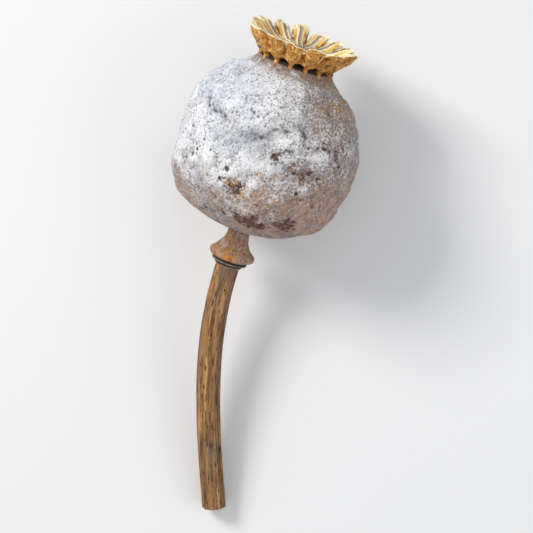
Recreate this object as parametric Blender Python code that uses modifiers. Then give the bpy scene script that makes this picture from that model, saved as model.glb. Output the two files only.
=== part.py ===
"""A dried poppy seed head on a length of its cut stem, lying on a level surface.

Metres, +Z up. The origin is on the surface, in the middle of the flat spot that the capsule rests on.
+Y runs along the part, from the cut end of the stem to the crown.
"""

import math
import random

import bpy
import numpy as np
from mathutils import Matrix, Vector, noise

MM = 0.001

# How the head lies: it leans sideways from +Y and rises from the surface towards the crown.
# Its middle is low enough for the capsule's side to be pressed flat over a small spot at the origin.
HEAD_LEAN = math.radians(18.5)
HEAD_RISE = math.radians(12)
HEAD_MIDDLE = Vector((1.1, 3.1, 22.95)) * MM

# Rays of the crown, which ribs on the capsule's shoulder carry on. Ray 0 lies along the head's own +X.
RAYS = 15

# Capsule, in its own frame: +Z from the stem to the crown, 0 at the widest level.
CAPSULE_STEPS = RAYS * 5
CAPSULE_ROWS = 34
RIB_HEIGHT = 0.22 * MM

# Folds and creases of the dry wall: depth, size, and where each starts in the noise that draws it.
FOLD_DEPTH = 1.2 * MM
FOLD_SIZE = 13 * MM
FOLD_START = Vector((4.3, 1.7, 9.2))
CREASE_DEPTH = 0.8 * MM
CREASE_SIZE = 7 * MM
CREASE_START = Vector((0.4, 8.1, 2.6))
CREASE_MEAN = 0.25

# The capsule's side from its neck down to its base: radius and height in mm.
CAPSULE_SIDE = (
    (9.6, 22.5), (9.9, 21.4), (11.1, 20.0), (13.5, 18.2), (16.7, 15.8), (19.4, 12.6), (21.3, 8.6), (22.5, 4.2),
    (23.0, 0), (22.8, -4.2), (21.9, -9.0), (19.9, -13.5), (17.0, -17.0), (13.1, -19.5), (9.0, -20.9),
    (5.5, -21.6), (3.0, -21.9),
)
NECK_HEIGHT = CAPSULE_SIDE[0][1] * MM
CAPSULE_BASE = CAPSULE_SIDE[-1][1] * MM
BASE_RADIUS = CAPSULE_SIDE[-1][0] * MM
CAPSULE_RADIUS = max(radius for radius, height in CAPSULE_SIDE) * MM

# Furrows where the dry wall fell in: azimuth in degrees and height in mm of both ends, half-width and depth in mm.
FURROWS = (
    ((200, 10.0), (235, 7.8), 2.2, 1.2),
    ((236, 0.6), (262, 6.2), 2.1, 0.9),
    ((262, 6.2), (292, 11.0), 2.2, 0.9),
    ((247, -5.6), (261, -7.0), 2.3, 1.1),
    ((284, -0.4), (316, 1.6), 2.4, 0.7),
    ((233, -9.5), (243, -16.5), 4.0, 1.0),
    ((273, -19.5), (295, -17.5), 3.6, 1.3),
    ((309, 17.5), (336, 12.5), 2.4, 0.8),
    ((10, -6.0), (52, -1.0), 3.6, 1.2),
    ((118, 15.0), (133, 3.0), 3.4, 1.1),
    ((165, 2.0), (150, -9.0), 2.6, 0.9),
)

# Crown, with its own 0 level at the foot of its wall.
STEPS_PER_RAY = 10
CROWN_RADIUS = 15.0 * MM
NOTCH_RADIUS = 10.4 * MM
DISC_INNER = 6.5 * MM
DISC_LEVEL = 3.0 * MM
LOBE_RISE = 3.6 * MM
DISC_THICKNESS = 0.9 * MM
PLEAT = 0.7 * MM
RAY_HEIGHT = 0.55 * MM
PORE_DEPTH = 2.0 * MM
PORE_LEVEL = 0.6 * MM
WALL_RADIUS = 9.6 * MM
WALL_TOP = 1.9 * MM
STRUT_FLARE = 1.6 * MM
LOBE_TWIST = 0.7 * MM
LOBE_SEED = 7
RAY_END = 12 * MM

# Ways off a ray, where 1 is midway to the next one: the ridge's foot, a strut's flanks, how far its flare
# spreads, and a lobe's edge.
RIDGE_FOOT = 0.35
STRUT_FLANK = (0.25, 0.55)
FLARE_FLANK = (0.45, 1.1)
LOBE_EDGE = 0.88
LOBE_SQUARENESS = 4
EDGE_CROWDING = 1.5

# Where the rings of points lie on the crown's upper side, as shares of its radius.
UPPER_RINGS = (0, 0.1, 0.22, 0.34, 0.46, 0.57, 0.67, 0.77, 0.87, 0.95)

# The same on its under side, as shares of the way from the edge of a lobe to the top of the wall.
UNDER_RINGS = (0.12, 0.34, 0.6, 0.82)
UNDER_SPAN = 0.3

# Receptacle: the waisted stub and the ringed scar under it, 0 at the widest level of its rim.
STUB_RADIUS = 2.8 * MM
STUB_HEIGHT = 7.2 * MM
RIM_RADIUS = 5.85 * MM
RING_FOOT = -3.1 * MM
RECEPTACLE_STEPS = 32

# The groove, the pale band and the foot groove of the ring scar: radius and height in mm.
RING_SIDE = ((4.45, -1.05), (4.25, -1.5), (4.55, -1.8), (4.45, -2.25), (3.75, -2.45))

# Stem.
STEM_RADIUS = 3.2 * MM
STEM_LENGTH = 66 * MM
STEM_POINTS = 26
STEM_RIDGES = 9
RIDGE_HEIGHT = 0.28 * MM
STEM_END_HEADING = math.radians(-4)

# Clear space kept between two pieces that meet.
GAP = 0.3 * MM


def clear_scene():
    for old in list(bpy.data.objects):
        bpy.data.objects.remove(old)


def collection_for(name):
    made = bpy.data.collections.new(name)
    bpy.context.scene.collection.children.link(made)
    return made


def finish(name, colour, roughness):
    """A dry, dull plant surface of one colour."""
    material = bpy.data.materials.new(name)
    material.use_nodes = True
    shader = material.node_tree.nodes["Principled BSDF"]
    shader.inputs["Base Color"].default_value = (*colour, 1)
    shader.inputs["Roughness"].default_value = roughness
    shader.inputs["Metallic"].default_value = 0
    return material


def smooth_through(points, count):
    """Points spaced evenly along a smooth curve through the given (radius, height) pairs."""
    points = [Vector(p) for p in points]
    fine = []
    for i in range(len(points) - 1):
        before = points[max(i - 1, 0)]
        start, end = points[i], points[i + 1]
        after = points[min(i + 2, len(points) - 1)]
        for j in range(12):
            t = j / 12
            fine.append(
                0.5 * (2 * start + (end - before) * t
                       + (2 * before - 5 * start + 4 * end - after) * t ** 2
                       + (3 * start - before - 3 * end + after) * t ** 3)
            )
    fine.append(points[-1])
    fine = np.array([tuple(p) for p in fine])
    along = np.concatenate([[0], np.cumsum(np.linalg.norm(np.diff(fine, axis=0), axis=1))])
    wanted = np.linspace(0, along[-1], count)
    return [tuple(p) for p in np.column_stack([np.interp(wanted, along, fine[:, i]) for i in (0, 1)])]


def turned(name, profile, steps):
    """A closed body turned about Z from (radius, height) pairs that run from its top to its foot."""
    mesh = bpy.data.meshes.new(name)
    mesh.from_pydata([(r, 0, z) for r, z in profile], [(i, i + 1) for i in range(len(profile) - 1)], [])
    body = bpy.data.objects.new(name, mesh)
    bpy.context.scene.collection.objects.link(body)
    screw = body.modifiers.new("Turn", "SCREW")
    screw.steps = screw.render_steps = steps
    screw.use_merge_vertices = True
    screw.merge_threshold = 0.00005
    bpy.context.view_layer.update()
    graph = bpy.context.evaluated_depsgraph_get()
    body.data = bpy.data.meshes.new_from_object(body.evaluated_get(graph))
    body.modifiers.clear()
    return body


def reshape(body, rule):
    """Moves every vertex to where the rule puts it; the rule takes and gives angle, radius and height."""
    for vertex in body.data.vertices:
        x, y, z = vertex.co
        angle, radius, height = rule(math.atan2(y, x), math.hypot(x, y), z)
        vertex.co = (radius * math.cos(angle), radius * math.sin(angle), height)


def ease(low, high, value):
    """0 below low, 1 above high, and a smooth step between them."""
    t = min(max((value - low) / (high - low), 0), 1)
    return t * t * (3 - 2 * t)


def from_ray(angle):
    """Number of the nearest ray, and the way off it: 0 on the ray, 1 or -1 midway to the next."""
    turns = angle / math.tau * RAYS
    nearest = round(turns)
    return nearest % RAYS, (turns - nearest) * 2


def on_ball(azimuth, level):
    """Point of a ball as wide as the capsule, at an azimuth in degrees and a height in mm."""
    angle = math.radians(azimuth)
    height = level * MM
    radius = math.sqrt(CAPSULE_RADIUS ** 2 - height ** 2)
    return Vector((radius * math.cos(angle), radius * math.sin(angle), height))


def off_line(point, start, end):
    """Distance of a point from the line between two others."""
    line = end - start
    share = min(max((point - start).dot(line) / line.length_squared, 0), 1)
    return (point - start - share * line).length


def furrows_at(point):
    """Depth of the fallen-in places at a point of the capsule."""
    depth = 0
    for start, end, wide, deep in FURROWS:
        off = off_line(point, on_ball(*start), on_ball(*end)) / (wide * MM)
        depth += deep * MM * math.exp(-off ** 2)
    return depth


def withered(point):
    """How far the dry wall bulges (+) or sinks (-) at a point of the capsule."""
    fold = noise.noise(point / FOLD_SIZE + FOLD_START)
    crease = abs(noise.noise(point / CREASE_SIZE + CREASE_START))
    return FOLD_DEPTH * fold + CREASE_DEPTH * (crease - CREASE_MEAN) - furrows_at(point)


def capsule_rule(angle, radius, height):
    """Folds and creases over the ball, and low ribs under the crown that fade down the shoulder."""
    if radius < BASE_RADIUS * 0.5 or height > NECK_HEIGHT - 0.1 * MM:
        return angle, radius, height
    point = Vector((radius * math.cos(angle), radius * math.sin(angle), height))
    ends = ease(NECK_HEIGHT, NECK_HEIGHT - 6 * MM, height) * ease(CAPSULE_BASE, CAPSULE_BASE + 5 * MM, height)
    off_ray = abs(from_ray(angle)[1])
    rib = RIB_HEIGHT * math.cos(math.pi * off_ray) * ease(0, NECK_HEIGHT - 4 * MM, height)
    rib *= ease(NECK_HEIGHT - 0.5 * MM, NECK_HEIGHT - 3 * MM, height)
    outward = Vector((radius, height)).normalized()
    move = withered(point) * ends + rib
    return angle, radius + move * outward.x, height + move * outward.y * ends


def capsule_profile():
    """Neck's flat top, side and base, as (radius, height) pairs from the top down."""
    side = smooth_through([(r * MM, z * MM) for r, z in CAPSULE_SIDE], CAPSULE_ROWS)
    return [(0, NECK_HEIGHT), (side[0][0] * 0.6, NECK_HEIGHT)] + side + [(0, CAPSULE_BASE)]


def make_capsule():
    capsule = turned("capsule", capsule_profile(), CAPSULE_STEPS)
    reshape(capsule, capsule_rule)
    return capsule


def lobes():
    """Each lobe's own length, upward curl and twist, as shares of the common ones."""
    draw = random.Random(LOBE_SEED)
    return [(draw.uniform(0.9, 1.0), draw.uniform(0.75, 1.2), draw.uniform(-1, 1)) for _ in range(RAYS)]


def rim_radius(off_ray, length):
    """Radius of the scalloped edge: a rounded lobe on each ray, a notch between two."""
    round_end = max(0, 1 - (off_ray / LOBE_EDGE) ** LOBE_SQUARENESS) ** 0.5
    return NOTCH_RADIUS + (CROWN_RADIUS * length - NOTCH_RADIUS) * round_end


def sheet_height(radius, off_ray, curl):
    """Mid-height of the crown's sheet, which sinks between its rays and lifts along its lobes."""
    out = ease(DISC_INNER, CROWN_RADIUS, radius)
    pleat = PLEAT * off_ray ** 2 * ease(0, DISC_INNER, radius)
    return DISC_LEVEL + LOBE_RISE * curl * out - pleat


def wall_radius(off_ray, height):
    """Radius of the wall under the disc: its struts flare as they rise, with the pores set back between them."""
    pore = PORE_DEPTH * ease(*STRUT_FLANK, off_ray) * ease(0, PORE_LEVEL, height) * ease(WALL_TOP, 2 * PORE_LEVEL, height)
    flare = STRUT_FLARE * (1 - ease(*FLARE_FLANK, off_ray)) * height / WALL_TOP
    return WALL_RADIUS + flare - pore


def crown_rule(angle, radius, height):
    """Lobes with their curl and twist, rays on the disc, and the flared wall that carries it."""
    ray, side_of_ray = from_ray(angle)
    off_ray = 1 - (1 - abs(side_of_ray)) ** EDGE_CROWDING  # brings the columns of points closer to the edges
    side_of_ray = math.copysign(off_ray, side_of_ray)
    angle = (ray + side_of_ray / 2) * math.tau / RAYS
    if height < WALL_TOP + 0.01 * MM:
        return angle, wall_radius(off_ray, height) if radius > 0 else 0, height
    length, curl, twist = LOBES[ray]
    curl = curl + (1 - curl) * off_ray
    edge = rim_radius(off_ray, length)
    side = (height - DISC_LEVEL) / (DISC_THICKNESS / 2)
    to_wall = 0
    if side < 0:
        to_wall = (1 - radius / CROWN_RADIUS) / UNDER_SPAN
        radius = edge
        side = 0
    elif radius > DISC_INNER:
        share = (radius - DISC_INNER) / (CROWN_RADIUS - DISC_INNER)
        radius = DISC_INNER + share * (edge - DISC_INNER)
    level = sheet_height(radius, off_ray, curl) + side * DISC_THICKNESS / 2
    level += LOBE_TWIST * twist * side_of_ray * (1 - off_ray) * 2 * ease(NOTCH_RADIUS, CROWN_RADIUS, radius)
    if side > 0.5:
        ridge = (1 - ease(0, RIDGE_FOOT, off_ray)) * ease(0, 1.5 * MM, radius) * ease(CROWN_RADIUS, RAY_END, radius)
        level += RAY_HEIGHT * ridge
    radius += (wall_radius(off_ray, WALL_TOP) - radius) * to_wall
    level += (WALL_TOP - level) * to_wall
    return angle, radius, level


def crown_profile():
    """The crown before it is shaped: a flat disc on a round wall, as (radius, height) pairs."""
    top = DISC_LEVEL + DISC_THICKNESS / 2
    under = DISC_LEVEL - DISC_THICKNESS / 2
    rows = [(share * CROWN_RADIUS, top) for share in UPPER_RINGS]
    rows.append((CROWN_RADIUS, DISC_LEVEL))
    rows += [((1 - UNDER_SPAN * share) * CROWN_RADIUS, under) for share in UNDER_RINGS]
    rows += [(WALL_RADIUS, height) for height in (WALL_TOP, 2 * PORE_LEVEL, PORE_LEVEL, 0)]
    return rows + [(0, 0)]


def make_crown():
    crown = turned("crown", crown_profile(), RAYS * STEPS_PER_RAY)
    reshape(crown, crown_rule)
    crown.location.z = NECK_HEIGHT + GAP
    return crown


def make_receptacle():
    stub = [
        (STUB_RADIUS + 0.2 * MM, STUB_HEIGHT),
        (STUB_RADIUS, STUB_HEIGHT - 1.8 * MM),
        (3.3 * MM, 3.4 * MM),
        (4.5 * MM, 1.6 * MM),
        (RIM_RADIUS - 0.25 * MM, 0.5 * MM),
        (RIM_RADIUS, -0.1 * MM),
        (RIM_RADIUS - 0.35 * MM, -0.7 * MM),
    ]
    profile = [(0, STUB_HEIGHT)] + smooth_through(stub, 11) + [(r * MM, z * MM) for r, z in RING_SIDE]
    profile += [(STEM_RADIUS + 0.25 * MM, RING_FOOT), (0, RING_FOOT)]
    receptacle = turned("receptacle", profile, RECEPTACLE_STEPS)
    receptacle.location.z = CAPSULE_BASE - GAP - STUB_HEIGHT
    return receptacle


def stem_line(pose, top):
    """The stem's centre line: it leaves the receptacle along the head's axis and straightens towards -Y."""
    start = pose @ Vector((0, 0, top))
    drop = start.z - STEM_RADIUS * math.cos(HEAD_RISE / 2)
    pitch_end = 2 * math.asin(drop / STEM_LENGTH) - HEAD_RISE
    points = [start]
    step = STEM_LENGTH / (STEM_POINTS - 1)
    for i in range(STEM_POINTS - 1):
        t = (i + 0.5) / (STEM_POINTS - 1)
        heading = STEM_END_HEADING + (HEAD_LEAN - STEM_END_HEADING) * (1 - t) ** 2
        pitch = HEAD_RISE + (pitch_end - HEAD_RISE) * t
        flat = math.cos(pitch)
        points.append(points[-1] - step * Vector((math.sin(heading) * flat, math.cos(heading) * flat, math.sin(pitch))))
    return points


def stem_section():
    """The ridged outline that is drawn along the stem, as a closed flat curve."""
    outline = bpy.data.curves.new("stem_section", "CURVE")
    outline.dimensions = "2D"
    spline = outline.splines.new("POLY")
    count = STEM_RIDGES * 4
    spline.points.add(count - 1)
    for i, point in enumerate(spline.points):
        angle = -math.tau * i / count
        radius = STEM_RADIUS - RIDGE_HEIGHT * (0.5 - 0.5 * math.cos(STEM_RIDGES * angle))
        point.co = (radius * math.cos(angle), radius * math.sin(angle), 0, 1)
    spline.use_cyclic_u = True
    section = bpy.data.objects.new("stem_section", outline)
    section.hide_render = True
    return section


def make_stem(pose, helpers):
    section = stem_section()
    helpers.objects.link(section)
    line = bpy.data.curves.new("stem", "CURVE")
    line.dimensions = "3D"
    line.bevel_mode = "OBJECT"
    line.bevel_object = section
    line.use_fill_caps = True
    points = stem_line(pose, CAPSULE_BASE - 2 * GAP - STUB_HEIGHT + RING_FOOT)
    spline = line.splines.new("POLY")
    spline.points.add(len(points) - 1)
    for place, point in zip(points, spline.points):
        point.co = (*place, 1)
    return bpy.data.objects.new("stem", line)


def head_pose():
    """Place and turn of the head's own frame, whose +Z runs from the stem to the crown."""
    turn = Matrix.Rotation(-HEAD_LEAN, 4, "Z") @ Matrix.Rotation(HEAD_RISE - math.pi / 2, 4, "X")
    return Matrix.Translation(HEAD_MIDDLE) @ turn


def press_flat(capsule, pose):
    """Flattens what would reach below the surface."""
    for vertex in capsule.data.vertices:
        place = pose @ vertex.co
        if place.z < 0:
            place.z = 0
            vertex.co = pose.inverted() @ place


def main():
    clear_scene()
    head = collection_for("poppy_seed_head")
    helpers = collection_for("helpers")

    pose = head_pose()
    axis = bpy.data.objects.new("head_axis", None)
    head.objects.link(axis)
    axis.matrix_world = pose

    capsule = make_capsule()
    press_flat(capsule, pose)
    crown = make_crown()
    receptacle = make_receptacle()
    for piece in (capsule, crown, receptacle):
        bpy.context.scene.collection.objects.unlink(piece)
        head.objects.link(piece)
        piece.parent = axis

    stem = make_stem(pose, helpers)
    head.objects.link(stem)

    capsule.data.materials.append(finish("grey_bloom", (0.47, 0.44, 0.43), 0.9))
    crown.data.materials.append(finish("straw_crown", (0.62, 0.40, 0.13), 0.75))
    receptacle.data.materials.append(finish("brown_ring", (0.25, 0.15, 0.09), 0.8))
    stem.data.materials.append(finish("tan_stem", (0.36, 0.20, 0.09), 0.7))
    for piece in (capsule, crown, receptacle):
        piece.data.shade_smooth()
        piece.data.set_sharp_from_angle(angle=math.radians(75))


LOBES = lobes()
main()
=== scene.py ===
"""Looks of a dried poppy seed head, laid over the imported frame: lengths in mm, the scene in metres."""

import math
import random

import bpy
import numpy as np
from mathutils import Matrix, Vector, noise


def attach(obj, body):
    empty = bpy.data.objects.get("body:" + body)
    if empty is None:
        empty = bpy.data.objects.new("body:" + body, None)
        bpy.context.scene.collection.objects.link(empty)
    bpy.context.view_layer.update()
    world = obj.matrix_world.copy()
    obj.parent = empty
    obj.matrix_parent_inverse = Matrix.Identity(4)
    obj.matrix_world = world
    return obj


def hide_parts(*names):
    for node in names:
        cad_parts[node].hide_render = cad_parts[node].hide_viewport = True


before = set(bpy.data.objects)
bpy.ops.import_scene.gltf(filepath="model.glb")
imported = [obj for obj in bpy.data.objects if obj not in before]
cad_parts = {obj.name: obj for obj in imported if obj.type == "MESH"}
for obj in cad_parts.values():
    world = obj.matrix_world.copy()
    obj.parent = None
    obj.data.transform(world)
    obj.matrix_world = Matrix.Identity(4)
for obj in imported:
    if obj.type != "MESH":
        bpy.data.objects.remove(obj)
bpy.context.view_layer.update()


# Stem
# The dried, woody flower stalk, bent a little by the weight of its head. It grew with long fine ridges and
# dried to a golden tan with rust-brown streaks and small scars. It was cut through at the far end.

MM = 0.001

# How the head lies: it leans from +Y and rises to the crown. Its own +Z runs from stem to crown.
HEAD_LEAN = math.radians(18.5)
HEAD_RISE = math.radians(12)
HEAD_MIDDLE = Vector((1.1, 3.1, 22.95))
HEAD_TURN = Matrix.Rotation(-HEAD_LEAN, 4, "Z") @ Matrix.Rotation(HEAD_RISE - math.pi / 2, 4, "X")
HEAD_POSE = Matrix.Translation(HEAD_MIDDLE) @ HEAD_TURN

STEM_RADIUS = 3.2
STEM_LENGTH = 66
STEM_TOP = -32.8
STEM_TUCK = 1
END_HEADING = math.radians(-4)
STEM_ROWS = 420
STEM_COLUMNS = 126
STEM_RIDGES = 9
RIDGE_HEIGHT = 0.28
RIDGE_WANDER = 0.9
FIBRE_HEIGHT = 0.1
SPLIT_DEPTH = 0.13
SPLIT_SHARPNESS = 11

# Scars: seed and number, then ranges of half-width, angle, place, length over width, and depth.
SCARS = (11, 46, ((0.16, 0.36), (0, math.tau), (1, 64), (1.2, 4), (0.06, 0.2)))

# Gap under the head where it rests, so that floor and skin don't share one level.
REST_LIFT = 0.02

# The cut face from its edge inwards: share of the stem's radius, and how far it stands out.
CUT_FACE = (
    (0.985, 0.05), (0.95, 0.1), (0.89, 0.1), (0.82, 0.06), (0.75, 0.08), (0.7, 0), (0.67, -0.25),
    (0.64, -0.6), (0.56, -0.75), (0.46, -0.68), (0.34, -0.74), (0.22, -0.66), (0.1, -0.7),
)
PITH_SHARE = 0.68
CUT_ROUGHNESS = (0.1, 0.5)

TAN = (0.36, 0.19, 0.068)
GOLD_TAN = (0.6, 0.32, 0.1)
RUST_AND_SHADE_BROWN = (0.17, 0.062, 0.022)
DARK_BROWN = (0.05, 0.022, 0.012)
WEATHERED_AND_SHADE_GREY = (0.19, 0.145, 0.105)
CUT_WOOD = (0.66, 0.5, 0.28)
PITH = (0.72, 0.63, 0.47)


def ease(low, high, value):
    """0 at low and 1 at high, with a smooth step between them."""
    t = np.clip((value - low) / (high - low), 0, 1)
    return t * t * (3 - 2 * t)


def noise_at(points, size, start=(0, 0, 0)):
    """Smooth noise, about -0.7 to 0.7, with lumps about as wide as the size."""
    places = np.asarray(points) / size + np.array(start)
    values = [noise.noise(place) for place in places.reshape(-1, 3).tolist()]
    return np.array(values).reshape(places.shape[:-1])


def bumps(points, height, size, start=(0, 0, 0)):
    """Noise of this size, times the height."""
    return height * noise_at(points, size, start)


def hump(value, middle, width, power=2):
    """1 in the middle, about a third a width away from it, and 0 further out."""
    return np.exp(-np.abs((value - middle) / width) ** power)


def drawn(seed, count, ranges):
    """Rows of random numbers, one from each range."""
    draw = random.Random(seed)
    return [[draw.uniform(*limits) for limits in ranges] for _ in range(count)]


def lengths_along(line):
    """Length along a line of points up to each of them."""
    return np.concatenate([[0], np.cumsum(np.linalg.norm(np.diff(line, axis=0), axis=1))])


def placed(name, data):
    """A new object in the scene with this mesh, light or camera."""
    thing = bpy.data.objects.new(name, data)
    bpy.context.scene.collection.objects.link(thing)
    return thing


def skin_of_rings(name, rings, paint, pose=Matrix()):
    """A closed skin over rings of points from top to foot, counter-clockwise as seen from the top.

    The paint gives each point a number or a vector; its "place" is where the rings are before the pose.
    """
    paint = {"place": rings, **paint}
    rows, columns = rings.shape[:2]
    top, foot = rows * columns, rows * columns + 1
    points = np.vstack([rings.reshape(-1, 3), rings[0].mean(axis=0), rings[-1].mean(axis=0)])
    faces = []
    for column in range(columns):
        after = (column + 1) % columns
        faces.append((top, column, after))
        faces.append((foot, (rows - 1) * columns + after, (rows - 1) * columns + column))
        for row in range(rows - 1):
            here, below = row * columns, (row + 1) * columns
            faces.append((here + column, below + column, below + after, here + after))
    mesh = bpy.data.meshes.new(name)
    mesh.from_pydata(points.tolist(), [], faces)
    for label, values in paint.items():
        values = values.reshape(rows, columns, -1)
        ends = [values[0].mean(axis=0), values[-1].mean(axis=0)]
        form, field = ("FLOAT", "value") if values.shape[2] == 1 else ("FLOAT_VECTOR", "vector")
        layer = mesh.attributes.new(label, form, "POINT")
        layer.data.foreach_set(field, np.vstack([*values, ends]).astype(np.float32).ravel())
    mesh.transform(Matrix.Scale(MM, 4) @ pose)
    mesh.shade_smooth()
    return placed(name, mesh)


def add_node(kind, inputs, **settings):
    """A new shader node in the tree of the sockets that feed it; its other inputs are plain values."""
    sockets = [value for value in inputs.values() if isinstance(value, bpy.types.NodeSocket)]
    tree = sockets[0].id_data
    node = tree.nodes.new("ShaderNode" + kind)
    for name, value in settings.items():
        setattr(node, name, value)
    for name, value in inputs.items():
        if isinstance(value, bpy.types.NodeSocket):
            tree.links.new(value, node.inputs[name])
        elif node.inputs[name].type == "RGBA":
            node.inputs[name].default_value = (*value, 1)
        else:
            node.inputs[name].default_value = value
    return node


def maths(operation, *numbers, clamp=False):
    """What a maths node makes of one or two numbers."""
    return add_node("Math", dict(enumerate(numbers)), operation=operation, use_clamp=clamp).outputs[0]


def both(one, other):
    """One number times another."""
    return maths("MULTIPLY", one, other)


def either(one, other):
    """Two masks together, 1 at most."""
    return maths("ADD", one, other, clamp=True)


def plus(one, other):
    return maths("ADD", one, other)


def mixed(mask, below, above, share=1):
    """Colour that goes from one to another with the mask, by no more than the share."""
    if share < 1:
        mask = both(mask, share)
    return add_node("Mix", {0: mask, 6: below, 7: above}, data_type="RGBA").outputs[2]


def layered(tone, *layers):
    """A colour under layers, the lowest first: a mask, a colour and the most that it covers, if not all."""
    for mask, colour, *share in layers:
        tone = mixed(mask, tone, colour, *share)
    return tone


def ranged(value, low, high):
    """0 at low and 1 at high."""
    limits = {"Value": value, "From Min": low, "From Max": high}
    return add_node("MapRange", limits, interpolation_type="SMOOTHSTEP").outputs["Result"]


def spread(mask, low, high):
    """A number that goes from low to high as the mask goes from 0 to 1."""
    return add_node("MapRange", {"Value": mask, "To Min": low, "To Max": high}).outputs["Result"]


def painted(tree, label, form="Fac"):
    """The number, or in the form Vector the vector, laid on the mesh under this name."""
    node = tree.nodes.new("ShaderNodeAttribute")
    node.attribute_name = label
    return node.outputs[form]


def new_group(name, inputs, output):
    """A node group that takes a Place and these numbers and puts out one number."""
    group = bpy.data.node_groups.new(name, "ShaderNodeTree")
    group.interface.new_socket("Place", in_out="INPUT", socket_type="NodeSocketVector")
    for label in inputs:
        group.interface.new_socket(label, in_out="INPUT", socket_type="NodeSocketFloat")
    group.interface.new_socket(output, in_out="OUTPUT", socket_type="NodeSocketFloat")
    given = group.nodes.new("NodeGroupInput").outputs
    result = group.nodes.new("NodeGroupOutput").inputs
    share = maths("DIVIDE", 1, given["Size"])
    place = add_node("VectorMath", {0: given["Place"], "Scale": share}, operation="SCALE").outputs[0]
    return group, given, place, result[output]


def patches_group():
    """Irregular patches about Size mm wide: 0 where the noise is below Low, 1 where it is above High."""
    group, given, place, mask = new_group("Patches", ("Size", "Low", "High", "Detail"), "Mask")
    cloud = add_node("TexNoise", {"Vector": place, "Scale": 1, "Detail": given["Detail"]})
    group.links.new(ranged(cloud.outputs["Fac"], given["Low"], given["High"]), mask)
    return group


def specks_group():
    """Small round specks, one in each cell Size mm wide, of which only a Share shows."""
    group, given, place, mask = new_group("Specks", ("Size", "Share", "Width"), "Mask")
    cells = add_node("TexVoronoi", {"Vector": place, "Scale": 1})
    dot = ranged(cells.outputs["Distance"], given["Width"], 0)
    draw = add_node("SeparateColor", {"Color": cells.outputs["Color"]}).outputs["Red"]
    group.links.new(both(dot, maths("LESS_THAN", draw, given["Share"])), mask)
    return group


def threads_group():
    """Thin wandering lines in a web Size mm wide, the Width of each a share of that."""
    group, given, place, mask = new_group("Threads", ("Size", "Width"), "Mask")
    cloud = add_node("TexNoise", {"Vector": place, "Scale": 1, "Detail": 3}).outputs["Fac"]
    off = maths("ABSOLUTE", maths("SUBTRACT", cloud, 0.5))
    group.links.new(ranged(off, given["Width"], 0), mask)
    return group


PATCHES = patches_group()
SPECKS = specks_group()
THREADS = threads_group()


def from_group(group, *values):
    """The mask that a group puts out for these inputs, in their order."""
    return add_node("Group", dict(enumerate(values)), node_tree=group).outputs["Mask"]


def patches(place, size, low, high, detail=3):
    return from_group(PATCHES, place, size, low, high, detail)


def specks(place, size, share, width=0.3):
    return from_group(SPECKS, place, size, share, width)


def threads(place, size, width):
    return from_group(THREADS, place, size, width)


def stretched(place, along):
    """The place with its third direction scaled, for patterns longer than they are wide."""
    return add_node("VectorMath", {0: place, 1: (1, 1, along)}, operation="MULTIPLY").outputs[0]


def plant_material(name):
    """A plain material without metal, and its tree."""
    material = bpy.data.materials.new(name)
    material.use_nodes = True
    material.node_tree.nodes["Principled BSDF"].inputs["Metallic"].default_value = 0
    return material, material.node_tree


def finished(material, tone, roughness, gloss, relief, depth):
    """The material with this colour, roughness and gloss, and a relief this many mm deep."""
    tree = material.node_tree
    shader = tree.nodes["Principled BSDF"].inputs
    tree.links.new(tone, shader["Base Color"])
    tree.links.new(roughness, shader["Roughness"])
    shader["Specular IOR Level"].default_value = gloss
    bump = add_node("Bump", {"Height": relief, "Distance": depth * MM, "Strength": 1})
    tree.links.new(bump.outputs["Normal"], shader["Normal"])
    return material


def stem_line():
    """Points down the stem's middle, which leaves the head along its axis and straightens."""
    start = HEAD_POSE @ Vector((0, 0, STEM_TOP))
    drop = start.z - STEM_RADIUS * math.cos(HEAD_RISE / 2)
    last_pitch = 2 * math.asin(drop / STEM_LENGTH) - HEAD_RISE
    axis = HEAD_POSE.to_3x3() @ Vector((0, 0, 1))
    points = [start + axis * STEM_TUCK, start]
    step = STEM_LENGTH / STEM_ROWS
    for row in range(STEM_ROWS):
        t = (row + 0.5) / STEM_ROWS
        heading = END_HEADING + (HEAD_LEAN - END_HEADING) * (1 - t) ** 2
        pitch = HEAD_RISE + (last_pitch - HEAD_RISE) * t
        flat = math.cos(pitch)
        way = Vector((math.sin(heading) * flat, math.cos(heading) * flat, math.sin(pitch)))
        points.append(points[-1] - step * way)
    return np.array([tuple(point) for point in points])


def scars_at(turn, length):
    """How deep in the scars each point is: in mm, and 0 to 1."""
    depth = np.zeros_like(turn)
    share = np.zeros_like(turn)
    for wide, angle, place, stretch, deep in drawn(*SCARS):
        off = (np.remainder(turn - angle + math.pi, math.tau) - math.pi) * STEM_RADIUS
        spot = hump(off, 0, wide) * hump(length, place, wide * stretch)
        depth += deep * spot
        share = np.maximum(share, spot)
    return depth, share


def fibre_noise(grain, size, slimness, start=(0, 0, 0)):
    """Noise drawn out along the stem; slimness is the width of its lumps over their length."""
    return noise_at(grain * (1, 1, slimness), size, start)


def stem_relief(turn, grain):
    """The grooves between the ridges, the fine fibres and the dry splits."""
    ribs = 0.5 - 0.5 * np.cos(STEM_RIDGES * turn + RIDGE_WANDER * fibre_noise(grain, 3, 0.12))
    groove = ribs * (0.75 + 0.5 * fibre_noise(grain, 4, 0.1, (5, 1, 3)))
    fibre = fibre_noise(grain, 0.9, 0.07, (2, 7, 4))
    split = np.maximum(0, 1 - SPLIT_SHARPNESS * np.abs(fibre_noise(grain, 1.7, 0.05, (9, 3, 1))))
    return groove, fibre, split


def stem_directions(line):
    """The ways along the stem, across it and up out of it at each point of its middle."""
    way = -np.gradient(line, axis=0)
    way /= np.linalg.norm(way, axis=1)[:, None]
    across = np.cross((0, 0, 1), way)
    across /= np.linalg.norm(across, axis=1)[:, None]
    return way, across, np.cross(way, across)


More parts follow.
